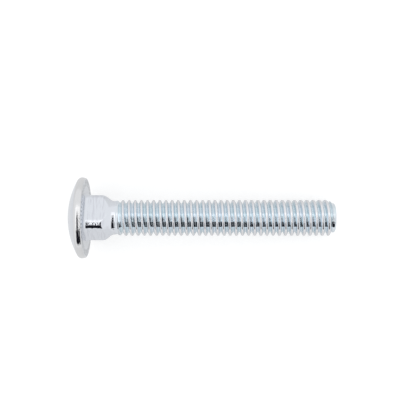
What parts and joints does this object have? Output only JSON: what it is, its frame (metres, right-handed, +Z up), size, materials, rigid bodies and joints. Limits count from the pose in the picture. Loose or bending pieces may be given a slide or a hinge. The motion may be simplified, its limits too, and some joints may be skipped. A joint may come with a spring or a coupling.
{
  "type": "carriage bolt",
  "caption": "Round-head, square-neck bolt with a shallow domed head and a fully threaded shank, zinc plated.",
  "frame": {"origin": "on the surface that the bolt lies on, under the middle of its bounding box", "axes": "+Z up; the bolt lies in the XZ plane with its head at -X and its threaded end towards +X, sloping 5.26 degrees down to that end because it rests on the rim of its head and the end of its thread"},
  "size_m": [0.069, 0.021, 0.021],
  "materials": {
    "zinc_plating": "bright zinc plating on steel with a clear, faintly blue passivated skin"
  },
  "bodies": {
    "root": {"carriage_bolt": "zinc_plating"}
  },
  "joints": []
}
